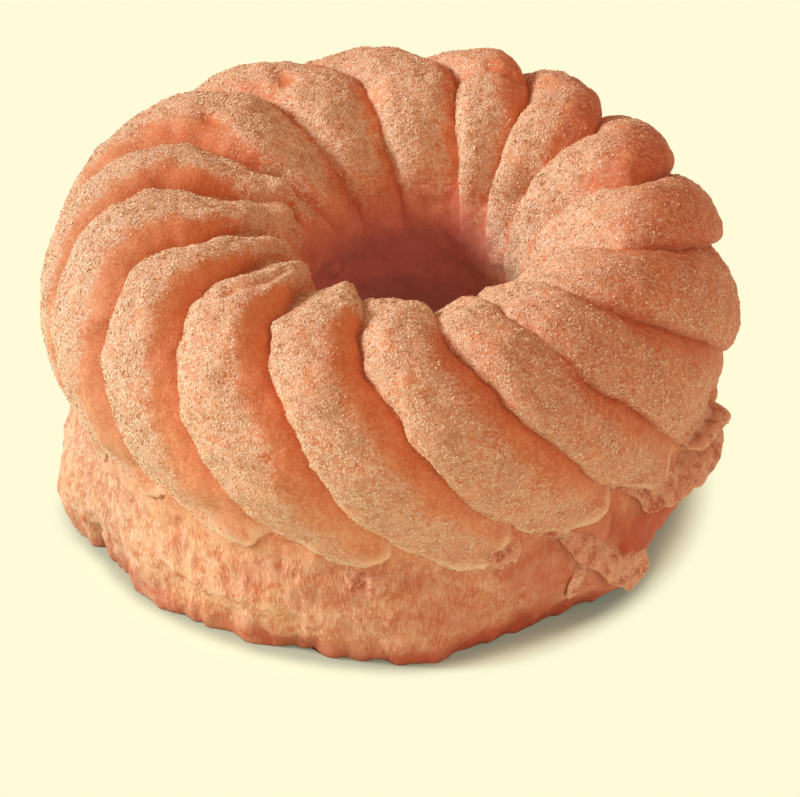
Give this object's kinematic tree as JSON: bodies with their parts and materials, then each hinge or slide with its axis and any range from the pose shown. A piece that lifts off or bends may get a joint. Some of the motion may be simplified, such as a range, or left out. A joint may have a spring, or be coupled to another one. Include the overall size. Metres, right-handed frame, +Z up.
{
  "type": "cruller doughnut",
  "caption": "Ring doughnut of piped fried dough with twisted rounded ridges, a smooth lower band and a round hole; stands on its flat underside.",
  "frame": {"origin": "middle of the bounding box at the level of the flat underside, where the doughnut stands on a plate or table", "axes": "+Z up through the hole; -Y towards the side where the torn crust flap is at the right; +X to the right of that view"},
  "size_m": [0.092, 0.0919, 0.0472],
  "materials": {
    "crust": "matt fried dough crust under a fine crystalline sugar frosting"
  },
  "bodies": {
    "root": {"cruller": "crust"}
  },
  "joints": []
}
